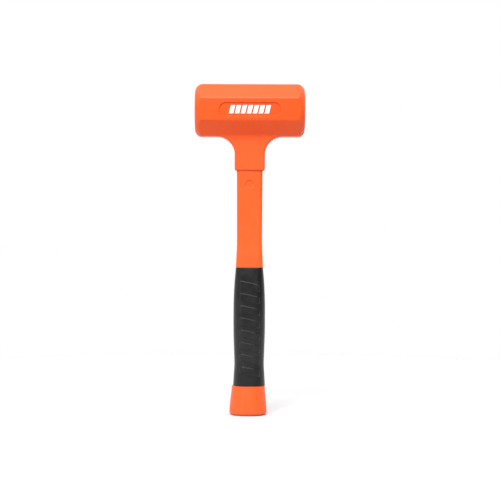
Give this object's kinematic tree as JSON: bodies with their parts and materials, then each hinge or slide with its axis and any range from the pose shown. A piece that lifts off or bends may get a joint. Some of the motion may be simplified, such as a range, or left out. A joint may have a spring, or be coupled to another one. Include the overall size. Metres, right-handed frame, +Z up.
{
  "type": "dead blow mallet",
  "caption": "Dead blow mallet: octagonal moulded orange head round a steel canister of loose shot, moulded handle with a steel core, and a black rubber grip with slanted raised pads.",
  "frame": {"origin": "centre of the butt's flat end, on the surface that the mallet stands on", "axes": "+Z up the handle to the head, X along the head from one striking face to the other, Y through the head's sides, with the marked side towards -Y"},
  "size_m": [0.104, 0.0492, 0.314],
  "materials": {
    "orange_urethane": "satin moulded",
    "black_rubber": "matt",
    "white_print": "matt ink",
    "canister_steel": "drawn tube, lightly oiled",
    "weld_metal": "as welded",
    "core_steel": "bright drawn",
    "plug_plastic": "moulded",
    "shot_steel": "polished ball"
  },
  "bodies": {
    "mallet": {"head_shell": "orange_urethane", "badge_mark": "white_print", "canister_tube": "canister_steel", "canister_cap_left": "canister_steel", "canister_cap_right": "canister_steel", "cap_weld_left": "weld_metal", "cap_weld_right": "weld_metal", "core_ferrule": "core_steel", "ferrule_weld": "weld_metal", "core_pin": "core_steel", "handle_core": "core_steel", "core_plug": "plug_plastic", "handle_jacket": "orange_urethane", "grip_sleeve": "black_rubber"},
    "shot_1": {"shot_layer_1": "shot_steel"},
    "shot_2": {"shot_layer_2": "shot_steel"},
    "shot_3": {"shot_layer_3": "shot_steel"},
    "shot_4": {"shot_layer_4": "shot_steel"},
    "shot_5": {"shot_layer_5": "shot_steel"}
  },
  "joints": [
    {"name": "shot_slide_1", "type": "slide", "parent": "mallet", "child": "shot_1", "axis": [1, 0, 0], "range_m": [-0.0075, 0.0075]},
    {"name": "shot_slide_2", "type": "slide", "parent": "mallet", "child": "shot_2", "axis": [1, 0, 0], "range_m": [-0.0075, 0.0075]},
    {"name": "shot_slide_3", "type": "slide", "parent": "mallet", "child": "shot_3", "axis": [1, 0, 0], "range_m": [-0.0075, 0.0075]},
    {"name": "shot_slide_4", "type": "slide", "parent": "mallet", "child": "shot_4", "axis": [1, 0, 0], "range_m": [-0.0105, 0.0105]},
    {"name": "shot_slide_5", "type": "slide", "parent": "mallet", "child": "shot_5", "axis": [1, 0, 0], "range_m": [-0.0136, 0.0136]}
  ]
}
